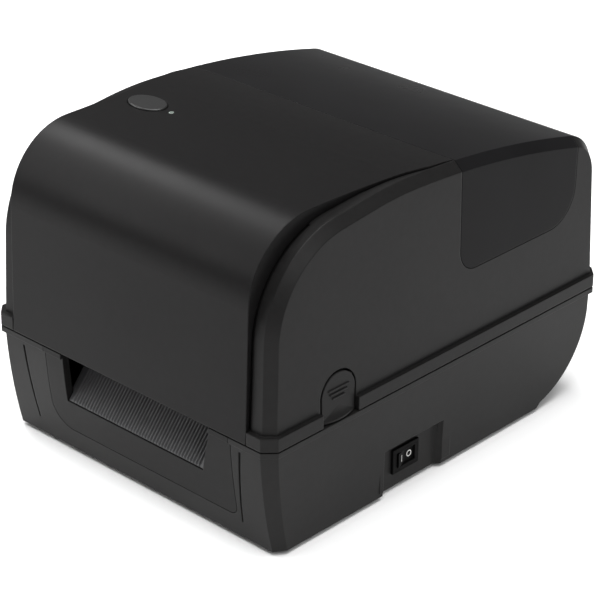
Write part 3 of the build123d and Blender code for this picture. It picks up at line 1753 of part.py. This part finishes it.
# Print head: a flat ceramic bar over the platen under a finned heat sink, pressed down by leaf springs
with BuildPart() as print_head:
    add(
        block(
            media_centre - platen_length / 2 - 2, media_centre + platen_length / 2 + 2,
            head_y - head_depth / 2, head_y + head_depth / 2, head_z, head_z + head_plate,
        )
    )
    chamfer(print_head.edges().filter_by(Axis.X).group_by(Axis.Z)[0], 0.8)
export(print_head.part, "print_head")

with BuildPart() as heat_sink:
    with BuildSketch(Plane.YZ.offset(media_centre - platen_length / 2)) as fins:
        with Locations((head_y, sink_z)):
            Rectangle(head_depth, heat_sink_height, align=(Align.CENTER, Align.MIN))
        with Locations([(head_y - 8.4 + 4.2 * k, sink_z + 4.0) for k in range(5)]):
            Rectangle(2.2, heat_sink_height, align=(Align.CENTER, Align.MIN), mode=Mode.SUBTRACT)
    extrude(amount=platen_length)
export(heat_sink.part, "heat_sink")

with BuildPart() as head_springs:
    for x in (media_centre - 34, media_centre + 34):
        with BuildSketch(Plane.YZ.offset(x - 5)) as strip:
            with BuildLine():
                top = shelf_z
                low = sink_z + heat_sink_height
                Polyline(
                    (head_y - 9, top - 0.4), (head_y + 3, top - 0.4), (head_y + 8, (top + low) / 2),
                    (head_y + 2, low + 0.4), (head_y - 9, low + 0.4),
                )
                offset(amount=0.4, kind=Kind.ARC)
            make_face()
        extrude(amount=10)
export(head_springs.part, "head_springs")


# Ribbon spindles: finned mandrels with a flange, turning on pins in the carriage plates
def spindle(y, z, pin_left):
    near = inner_l + carriage_gauge + 0.5
    far = inner_r - carriage_gauge - 0.5
    with BuildPart() as shaft:
        with BuildSketch(Plane.YZ.offset(near)):
            with Locations((y, z)):
                Circle(spindle_radius)
                with PolarLocations(spindle_radius + spindle_fin_height / 2 - 0.3, spindle_fins):
                    Rectangle(spindle_fin_height + 0.6, 1.6)
        extrude(amount=far - near)
        add(rod(near, near + 2, y, z, spindle_flange_radius))
        add(rod(pin_left, inner_r + 1.5, y, z, spindle_pin_radius))
    return shaft.part


ribbon_supply_spindle = spindle(supply_y, supply_z, inner_l - 1.5)
ribbon_rewind_spindle = spindle(rewind_y, rewind_z, inner_l - 8.0)
export(ribbon_supply_spindle, "ribbon_supply_spindle")
export(ribbon_rewind_spindle, "ribbon_rewind_spindle")

rewind_gear_near = inner_l - 1.2
with BuildPart() as rewind_gear:
    with BuildSketch(Plane.YZ.offset(rewind_gear_near - gear_width)):
        with Locations((rewind_y, rewind_z)):
            add(gear_sketch(rewind_gear_teeth, 0.0, spindle_pin_radius))
    extrude(amount=gear_width)
export(rewind_gear.part, "rewind_gear")

with BuildPart() as rewind_pinion:
    with BuildSketch(Plane.YZ.offset(rewind_gear_near - gear_width)):
        with Locations((motor2_y, rewind_z)):
            add(
                gear_sketch(
                    rewind_pinion_teeth,
                    mesh_phase(0.0, rewind_gear_teeth, 0.0, rewind_pinion_teeth), 0.5,
                )
            )
    extrude(amount=gear_width)
    add(rod(rewind_gear_near - gear_width - 1.0, rewind_gear_near, motor2_y, rewind_z, 2.0))
export(rewind_pinion.part, "rewind_pinion")

motor2_face = rewind_gear_near - gear_width - 1.3
with BuildPart() as rewind_motor:
    add(rod(motor2_face - rewind_motor_length, motor2_face, motor2_y, rewind_z, rewind_motor_radius))
    with BuildSketch(Plane.YZ.offset(motor2_face - 1.5)):
        with Locations((motor2_y + 1, rewind_z)):
            RectangleRounded(26, 32, 4)
    extrude(amount=1.5)
    for y, z in motor2_posts:
        add(rod(motor2_face, inner_l, y, z, 2.0))
export(rewind_motor.part, "rewind_motor")
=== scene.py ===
import bpy
import bmesh
import json
import math
from mathutils import Matrix, Vector


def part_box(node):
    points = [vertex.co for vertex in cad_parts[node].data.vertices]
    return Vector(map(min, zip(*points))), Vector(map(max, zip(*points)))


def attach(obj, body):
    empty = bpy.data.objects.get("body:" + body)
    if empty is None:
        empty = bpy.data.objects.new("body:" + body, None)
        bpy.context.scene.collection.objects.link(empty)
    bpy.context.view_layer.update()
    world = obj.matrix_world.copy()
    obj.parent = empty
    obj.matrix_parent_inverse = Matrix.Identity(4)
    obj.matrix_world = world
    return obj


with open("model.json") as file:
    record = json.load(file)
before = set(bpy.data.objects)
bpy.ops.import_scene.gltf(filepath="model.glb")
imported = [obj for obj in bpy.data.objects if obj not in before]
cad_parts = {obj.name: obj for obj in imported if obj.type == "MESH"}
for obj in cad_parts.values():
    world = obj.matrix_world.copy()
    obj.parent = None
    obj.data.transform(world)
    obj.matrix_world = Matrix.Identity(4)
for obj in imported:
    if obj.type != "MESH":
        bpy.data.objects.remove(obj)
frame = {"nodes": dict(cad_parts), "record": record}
bpy.context.view_layer.update()
nodes = frame["nodes"]
slots = {row["node"]: row["material_slot"] for row in frame["record"]["subparts"]}


# Camera: solved from the straight edges of the case


def look(azimuth, elevation, roll, distance, target):
    """A camera frame that looks at the target from the given side."""
    a, e, t = math.radians(azimuth), math.radians(elevation), math.radians(roll)
    side = Vector((math.cos(a), math.sin(a), 0))
    up = Vector((-math.sin(a) * math.sin(e), math.cos(a) * math.sin(e), math.cos(e)))
    back = Vector((math.sin(a) * math.cos(e), -math.cos(a) * math.cos(e), math.sin(e)))
    right = side * math.cos(t) + up * math.sin(t)
    over = up * math.cos(t) - side * math.sin(t)
    turn = Matrix((right, over, back)).transposed().to_4x4()
    return Matrix.Translation(Vector(target) + back * distance) @ turn


view_side, view_height, view_roll = 43.35, 26.22, 0.3
view_distance = 1.336
view_target = (0, -0.0015, 0.0875)

camera_data = bpy.data.cameras.new("camera")
camera = bpy.data.objects.new("camera", camera_data)
bpy.context.scene.collection.objects.link(camera)
camera_data.sensor_width = 36.0
camera_data.lens = 141.06
camera_data.shift_x = -0.0008
camera_data.shift_y = -0.0478
camera_data.clip_end = 50.0
camera.matrix_world = look(view_side, view_height, view_roll, view_distance, view_target)
bpy.context.scene.camera = camera
bpy.context.scene.view_settings.view_transform = "Standard"


# Finishes


def graph(name):
    """A new material with a principled shader."""
    mat = bpy.data.materials.new(name)
    mat.use_nodes = True
    tree = mat.node_tree
    tree.nodes.clear()
    out = tree.nodes.new("ShaderNodeOutputMaterial")
    shader = tree.nodes.new("ShaderNodeBsdfPrincipled")
    tree.links.new(shader.outputs["BSDF"], out.inputs["Surface"])
    return mat, tree, shader


def noise(tree, scale, detail=4.0, rough=0.55, stretch=(1, 1, 1)):
    """Noise in the piece's own metres."""
    place = tree.nodes.new("ShaderNodeTexCoord")
    mapping = tree.nodes.new("ShaderNodeMapping")
    mapping.inputs["Scale"].default_value = stretch
    tex = tree.nodes.new("ShaderNodeTexNoise")
    tex.inputs["Scale"].default_value = scale
    tex.inputs["Detail"].default_value = detail
    tex.inputs["Roughness"].default_value = rough
    tree.links.new(place.outputs["Object"], mapping.inputs["Vector"])
    tree.links.new(mapping.outputs["Vector"], tex.inputs["Vector"])
    return tex.outputs["Fac"]


def ramp(tree, value, low, high, start=0.3, end=0.7):
    """Spreads a noise between two numbers or two colours."""
    if isinstance(low, tuple):
        node = tree.nodes.new("ShaderNodeValToRGB")
        node.color_ramp.elements[0].position = start
        node.color_ramp.elements[1].position = end
        node.color_ramp.elements[0].color = (*low, 1)
        node.color_ramp.elements[1].color = (*high, 1)
        tree.links.new(value, node.inputs["Fac"])
        return node.outputs["Color"]
    node = tree.nodes.new("ShaderNodeMapRange")
    node.inputs["From Min"].default_value = start
    node.inputs["From Max"].default_value = end
    node.inputs["To Min"].default_value = low
    node.inputs["To Max"].default_value = high
    tree.links.new(value, node.inputs["Value"])
    return node.outputs["Result"]


def rounded(tree, radius):
    """Normals that run round the sharp edges, as the small radii of a mould do."""
    node = tree.nodes.new("ShaderNodeBevel")
    node.samples = 6
    node.inputs["Radius"].default_value = radius
    return node.outputs["Normal"]


def bump(tree, value, strength, distance, under=None):
    """Relief from a noise, laid over other normals where they are given."""
    node = tree.nodes.new("ShaderNodeBump")
    node.inputs["Strength"].default_value = strength
    node.inputs["Distance"].default_value = distance
    tree.links.new(value, node.inputs["Height"])
    if under is not None:
        tree.links.new(under, node.inputs["Normal"])
    return node.outputs["Normal"]


def shade(colour, factor):
    """A colour made darker or lighter."""
    return tuple(min(1.0, c * factor) for c in colour)


def moulded(
    name, colour, rough, grain=0.00045, depth=0.00001, spread=0.12, level=0.5, coat=0.0, edge=0.0006
):
    """Moulded plastic: fine grain, slow drifts of tone and gloss."""
    mat, tree, shader = graph(name)
    slow = noise(tree, 14.0, 3.0)
    mottle = noise(tree, 260.0, 5.0)
    fine = noise(tree, 1.0 / grain, 2.0, 0.6)
    tone = ramp(tree, mottle, shade(colour, 1 - spread), shade(colour, 1 + spread))
    tree.links.new(tone, shader.inputs["Base Color"])
    tree.links.new(ramp(tree, slow, rough - 0.03, rough + 0.03), shader.inputs["Roughness"])
    shader.inputs["Specular IOR Level"].default_value = level
    if coat:
        shader.inputs["Coat Weight"].default_value = coat
        shader.inputs["Coat Roughness"].default_value = 0.12
    tree.links.new(bump(tree, fine, 0.5, depth, rounded(tree, edge)), shader.inputs["Normal"])
    return mat


def metal(name, colour, rough, stretch=(1, 1, 1), grain=900.0, depth=0.000006, spread=0.1, edge=0.0003):
    """Metal with a brushed or plated surface."""
    mat, tree, shader = graph(name)
    brushed = noise(tree, grain, 3.0, 0.6, stretch)
    cloudy = noise(tree, 55.0, 4.0)
    tone = ramp(tree, cloudy, shade(colour, 1 - spread), shade(colour, 1 + spread))
    tree.links.new(tone, shader.inputs["Base Color"])
    shader.inputs["Metallic"].default_value = 1.0
    tree.links.new(ramp(tree, brushed, rough - 0.07, rough + 0.09), shader.inputs["Roughness"])
    tree.links.new(bump(tree, brushed, 0.35, depth, rounded(tree, edge)), shader.inputs["Normal"])
    return mat


case_black = moulded("case_black", (0.0088, 0.0085, 0.0085), 0.40, level=0.112, edge=0.0009)
base_black = moulded("base_black", (0.0100, 0.0097, 0.0096), 0.44, level=0.145, edge=0.0008)
panel_black = moulded("panel_black", (0.0092, 0.0089, 0.0089), 0.46, level=0.11)
# Switch frame and rocker: their own black, made darker and duller than the case as painted shade of the
# deep recess they sit in.
switch_black_painted_shade = moulded("switch_black_painted_shade", (0.0035, 0.0034, 0.0034), 0.5, level=0.05)
skin_black = moulded("skin_black", (0.0058, 0.0055, 0.0056), 0.38, level=0.095, edge=0.0009)
inner_grey = moulded("inner_grey", (0.022, 0.022, 0.023), 0.5)
ramp_grey = moulded("ramp_grey", (0.052, 0.052, 0.054), 0.45)
holder_grey = moulded("holder_grey", (0.055, 0.056, 0.058), 0.45)
gloss_black = moulded("gloss_black", (0.008, 0.008, 0.009), 0.2, depth=0.000004, coat=0.3)
button_black = moulded("button_black", (0.006, 0.006, 0.006), 0.42)
motor_black = moulded("motor_black", (0.02, 0.02, 0.021), 0.35, depth=0.00002)
gear_white = moulded("gear_white", (0.62, 0.61, 0.56), 0.42, spread=0.05)
board_green = moulded("board_green", (0.012, 0.085, 0.035), 0.3, depth=0.000008, spread=0.2)
ceramic = moulded("ceramic", (0.42, 0.36, 0.26), 0.22, depth=0.000004, spread=0.08, coat=0.4)
platen_rubber = moulded("platen_rubber", (0.018, 0.018, 0.018), 0.62, grain=0.0003, depth=0.00003)
foot_rubber = moulded("foot_rubber", (0.02, 0.02, 0.02), 0.78, grain=0.0005, depth=0.00004)
steel = metal("steel", (0.58, 0.58, 0.57), 0.34, stretch=(0.06, 1, 1))
zinc = metal("zinc", (0.5, 0.51, 0.52), 0.38, grain=420.0, spread=0.16)
aluminium = metal("aluminium", (0.68, 0.69, 0.7), 0.36, stretch=(0.05, 1, 1))
brass = metal("brass", (0.72, 0.53, 0.24), 0.27, grain=700.0)
mark_white = moulded("mark_white", (0.72, 0.72, 0.7), 0.5, depth=0.000006, spread=0.04)


def smoked(name):
    """Smoked clear plastic: dark and polished, drawn opaque."""
    mat, tree, shader = graph(name)
    slow = noise(tree, 22.0, 3.0)
    fine = noise(tree, 900.0, 2.0)
    tree.links.new(
        ramp(tree, slow, (0.0066, 0.0064, 0.0067), (0.0086, 0.0084, 0.0089)),
        shader.inputs["Base Color"],
    )
    tree.links.new(ramp(tree, slow, 0.27, 0.33), shader.inputs["Roughness"])
    tree.links.new(bump(tree, fine, 0.25, 0.000004, rounded(tree, 0.0009)), shader.inputs["Normal"])
    shader.inputs["Specular IOR Level"].default_value = 0.046
    return mat


window_smoke = smoked("window_smoke")


def pale_lens(name):
    """Pale lens that lets some light through."""
    mat, tree, shader = graph(name)
    cloudy = noise(tree, 500.0, 2.0)
    tree.links.new(
        ramp(tree, cloudy, (0.16, 0.19, 0.17), (0.24, 0.28, 0.25)), shader.inputs["Base Color"]
    )
    tree.links.new(ramp(tree, cloudy, 0.16, 0.24), shader.inputs["Roughness"])
    tree.links.new(bump(tree, cloudy, 0.2, 0.00001), shader.inputs["Normal"])
    shader.inputs["Transmission Weight"].default_value = 0.35
    return mat


light_clear = pale_lens("light_clear")
lens_red = moulded("lens_red", (0.11, 0.006, 0.004), 0.14, depth=0.000003, coat=0.5)

finish_of_slot = {
    "case_black": case_black,
    "inner_grey": inner_grey,
    "holder_grey": holder_grey,
    "window_smoke": window_smoke,
    "gloss_black": gloss_black,
    "button_black": button_black,
    "light_clear": light_clear,
    "steel": steel,
    "motor_black": motor_black,
    "sink_aluminium": aluminium,
    "head_ceramic": ceramic,
    "gear_white": gear_white,
    "brass_gear": brass,
    "board_green": board_green,
    "platen_rubber": platen_rubber,
    "foot_rubber": foot_rubber,
}
finish_of_node = {
    "lid_skin": skin_black,
    "base_case": base_black,
    "front_panel": panel_black,
    # Frame and rocker take the darker switch black, which carries painted shade of their recess.
    "switch_frame": switch_black_painted_shade,
    "switch_rocker": switch_black_painted_shade,
    "exit_ramp": ramp_grey,
    "print_chassis": zinc,
    "ribbon_carriage": zinc,
}

for name, obj in nodes.items():
    finish = finish_of_node.get(name, finish_of_slot[slots[name]])
    for slot in obj.material_slots:
        slot.material = finish


# Helpers for the pieces


def piece(name, bm, finish, body):
    """A new piece from its mesh code, riding on a body, with its finish."""
    mesh = bpy.data.meshes.new(name)
    bmesh.ops.recalc_face_normals(bm, faces=bm.faces)
    bm.to_mesh(mesh)
    bm.free()
    obj = bpy.data.objects.new(name, mesh)
    bpy.context.scene.collection.objects.link(obj)
    mesh.materials.append(finish)
    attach(obj, body)
    return obj


def plate(bm, points, lift):
    """A thin flat plate from a loop of points, raised along a vector."""
    low = [bm.verts.new(p) for p in points]
    high = [bm.verts.new(Vector(p) + Vector(lift)) for p in points]
    n = len(points)
    bm.faces.new(low[::-1])
    bm.faces.new(high)
    for k in range(n):
        bm.faces.new((low[k], low[(k + 1) % n], high[(k + 1) % n], high[k]))


def ring(bm, centre, across, up, inner, outer, lift, count):
    """A thin flat ring."""
    c, u, v = Vector(centre), Vector(across), Vector(up)
    rows = []
    for radius, raised in ((inner, 0), (outer, 0), (outer, 1), (inner, 1)):
        row = []
        for k in range(count):
            t = 2 * math.pi * k / count
            place = c + u * radius * math.cos(t) + v * radius * math.sin(t) + Vector(lift) * raised
            row.append(bm.verts.new(place))
        rows.append(row)
    for a in range(4):
        b = (a + 1) % 4
        for k in range(count):
            j = (k + 1) % count
            bm.faces.new((rows[a][k], rows[a][j], rows[b][j], rows[b][k]))


# Floor and light

floor_mesh = bpy.data.meshes.new("floor")
bm = bmesh.new()
reach = 6
for x, y in ((-reach, -reach), (reach, -reach), (reach, reach), (-reach, reach)):
    bm.verts.new((x, y, 0))
bm.faces.new(bm.verts)
bm.to_mesh(floor_mesh)
bm.free()
floor = bpy.data.objects.new("floor", floor_mesh)
bpy.context.scene.collection.objects.link(floor)
floor_mat, tree, shader = graph("floor_white")
shader.inputs["Base Color"].default_value = (0.93, 0.93, 0.93, 1)
shader.inputs["Roughness"].default_value = 0.9
shader.inputs["Specular IOR Level"].default_value = 0.1
floor_mesh.materials.append(floor_mat)

world = bpy.data.worlds.new("studio")
bpy.context.scene.world = world
world.use_nodes = True
world.node_tree.nodes["Background"].inputs["Color"].default_value = (1, 1, 1, 1)
world.node_tree.nodes["Background"].inputs["Strength"].default_value = 0.2


def lamp(name, place, aim, wide, tall, power, along=(0, 0, 1)):
    """A soft box at a place, facing the aim; its tall side runs along the given direction."""
    data = bpy.data.lights.new(name, "AREA")
    data.shape = "RECTANGLE"
    data.size = wide
    data.size_y = tall
    data.energy = power
    obj = bpy.data.objects.new(name, data)
    back = (Vector(place) - Vector(aim)).normalized()
    side = Vector(along).cross(back).normalized()
    turn = Matrix((side, back.cross(side), back)).transposed().to_4x4()
    obj.matrix_world = Matrix.Translation(place) @ turn
    bpy.context.scene.collection.objects.link(obj)
    return obj


lamp("overhead", (0.1, -0.1, 2.6), (0, 0, 0), 2.2, 2.2, 104.0, (0, 1, 0))
lamp("left", (-1.15, 0.2, 1.3), (0, -0.05, 0.16), 0.5, 0.5, 7.0)
lamp("left_strip", (-1.14, -0.68, 1.0), (0, -0.08, 0.15), 0.5, 1.8, 13.0, (0, 0.86, 0.5))
lamp("right", (1.35, -0.4, 1.15), (0, 0, 0.12), 0.9, 0.9, 9.0)


# Marks of the switch, on the rocker's own faces: a line on the front half and a ring on the rear half
mark_gap = 0.00002
mark_depth = 0.00006
line_half_width = 0.0003
line_half_height = 0.0021
ring_inner = 0.0014
ring_outer = 0.0020
mark_front = Vector((0.102776, -0.029055, 0.0185))
mark_rear = Vector((0.101788, -0.022025, 0.0185))
out_front = Vector((0.961, 0.276, 0)).normalized()
out_rear = Vector((1, 0, 0))
up = Vector((0, 0, 1))

bm = bmesh.new()
across = up.cross(out_front)
line = []
for side, rise in ((-1, -1), (1, -1), (1, 1), (-1, 1)):
    off_centre = across * side * line_half_width + up * rise * line_half_height
    line.append(mark_front + out_front * mark_gap + off_centre)
plate(bm, line, out_front * mark_depth)
piece("switch_line", bm, mark_white, "rocker")

bm = bmesh.new()
centre = mark_rear + out_rear * mark_gap
ring(bm, centre, (0, 1, 0), up, ring_inner, ring_outer, out_rear * mark_depth, 48)
piece("switch_ring", bm, mark_white, "rocker")


def disc_rows(bm, centre, axis, rows, count=24):
    """A turned form: rows of radius and height along an axis, closed at both ends."""
    axis = Vector(axis).normalized()
    u = axis.orthogonal().normalized()
    v = axis.cross(u)
    last = None
    for radius, height in rows:
        row = []
        for k in range(count):
            t = 2 * math.pi * k / count
            spoke = u * math.cos(t) + v * math.sin(t)
            row.append(bm.verts.new(Vector(centre) + axis * height + spoke * radius))
        if last:
            for k in range(count):
                j = (k + 1) % count
                bm.faces.new((last[k], last[j], row[j], row[k]))
        else:
            bm.faces.new(row[::-1])
        last = row
    bm.faces.new(last)


def screw(bm, centre, axis, radius=0.0024):
    """A pan head with a dished top, seated on its surface."""
    rows = (
        (radius, 0.0),
        (radius, radius * 0.35),
        (radius * 0.9, radius * 0.55),
        (radius * 0.68, radius * 0.66),
        (radius * 0.34, radius * 0.68),
        (radius * 0.22, radius * 0.4),
    )
    disc_rows(bm, centre, axis, rows)


def middle_of(lo, hi):
    return (Vector(lo) + Vector(hi)) / 2


# Screws: four that hold the ribbon carriage, four that hold the motor
media_centre_x = 0.0058
carriage_screw_x = 0.05
carriage_screw_y = (-0.060, -0.042)
carriage_gauge = 0.0018
carriage_lo, carriage_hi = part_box("ribbon_carriage")
bm = bmesh.new()
for x in (media_centre_x - carriage_screw_x, media_centre_x + carriage_screw_x):
    for y in carriage_screw_y:
        screw(bm, (x, y, carriage_hi[2] - carriage_gauge), (0, 0, -1), 0.003)
piece("carriage_screws", bm, steel, "lid")

motor_screw_inset = 0.005
motor_gap = 0.0001
motor_lo, motor_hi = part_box("stepper_motor")
bm = bmesh.new()
for y in (motor_lo[1] + motor_screw_inset, motor_hi[1] - motor_screw_inset):
    for z in (motor_lo[2] + motor_screw_inset, motor_hi[2] - motor_screw_inset):
        screw(bm, (motor_lo[0] - motor_gap, y, z), (-1, 0, 0))
piece("motor_screws", bm, steel, "base")

# Clips on the stud of the idler and on the free end of the platen shaft
clip_hole = 0.0030
clip_depth = (0.0006, 0, 0)
idler_lo, idler_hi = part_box("idler_gear")
place = middle_of(idler_lo, idler_hi)
place.x = idler_lo[0] - 0.0007
bm = bmesh.new()
ring(bm, place, (0, 1, 0), up, clip_hole, 0.0048, clip_depth, 32)
piece("idler_clip", bm, steel, "base")

shaft_lo, shaft_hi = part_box("platen_shaft")
place = middle_of(shaft_lo, shaft_hi)
place.x = shaft_hi[0] - 0.0018
bm = bmesh.new()
ring(bm, place, (0, 1, 0), up, clip_hole, 0.0049, clip_depth, 32)
piece("platen_clip", bm, steel, "platen")

# Heater line and the resin that covers the drivers, on the underside of the print head
heater_inset = 0.004
heater_half_width = 0.0006
heater_depth = 0.00004
resin_inset = 0.005
resin_offset = 0.0108
resin_half_width = 0.0014
resin_depth = 0.0006
resin_steps = 8
head_lo, head_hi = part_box("print_head")
head_y = (head_lo[1] + head_hi[1]) / 2
bm = bmesh.new()
y0, y1 = head_y - heater_half_width, head_y + heater_half_width
z0, z1 = head_lo[2], head_lo[2] - heater_depth
x0 = head_lo[0] + heater_inset
loop = [(x0, y, z) for y, z in ((y0, z0), (y1, z0), (y1, z1), (y0, z1))]
plate(bm, loop, (head_hi[0] - heater_inset - x0, 0, 0))
piece("heater_line", bm, gloss_black, "lid")

bm = bmesh.new()
loop = []
for k in range(resin_steps + 1):
    t = math.pi * k / resin_steps
    y = head_y + resin_offset - resin_half_width * math.cos(t)
    loop.append((head_lo[0] + resin_inset, y, head_lo[2] - resin_depth * math.sin(t)))
plate(bm, loop, (head_hi[0] - head_lo[0] - 2 * resin_inset, 0, 0))
piece("driver_resin", bm, gloss_black, "lid")

# Centre pin of the power inlet
pin_depth = 0.0105
pin_rows = ((0.001, 0.0), (0.001, 0.0085), (0.0007, 0.0091), (0.0002, 0.0093))
inlet_lo, inlet_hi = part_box("power_inlet")
place = middle_of(inlet_lo, inlet_hi)
place.y = inlet_hi[1] - pin_depth
bm = bmesh.new()
disc_rows(bm, place, (0, 1, 0), pin_rows)
piece("inlet_pin", bm, brass, "base")

# Lenses of the label sensor
lens_spread = 0.006
lens_seat = 0.0006
lens_rows = ((0.0013, 0.0), (0.0013, 0.0002), (0.001, 0.00038), (0.0004, 0.00045))
sensor_lo, sensor_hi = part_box("media_sensor")
bm = bmesh.new()
for side in (-1, 1):
    place = middle_of(sensor_lo, sensor_hi)
    place.x += side * lens_spread
    place.z = sensor_hi[2] - lens_seat
    disc_rows(bm, place, (0, 0, 1), lens_rows)
piece("sensor_lenses", bm, lens_red, "base")

bpy.context.view_layer.update()
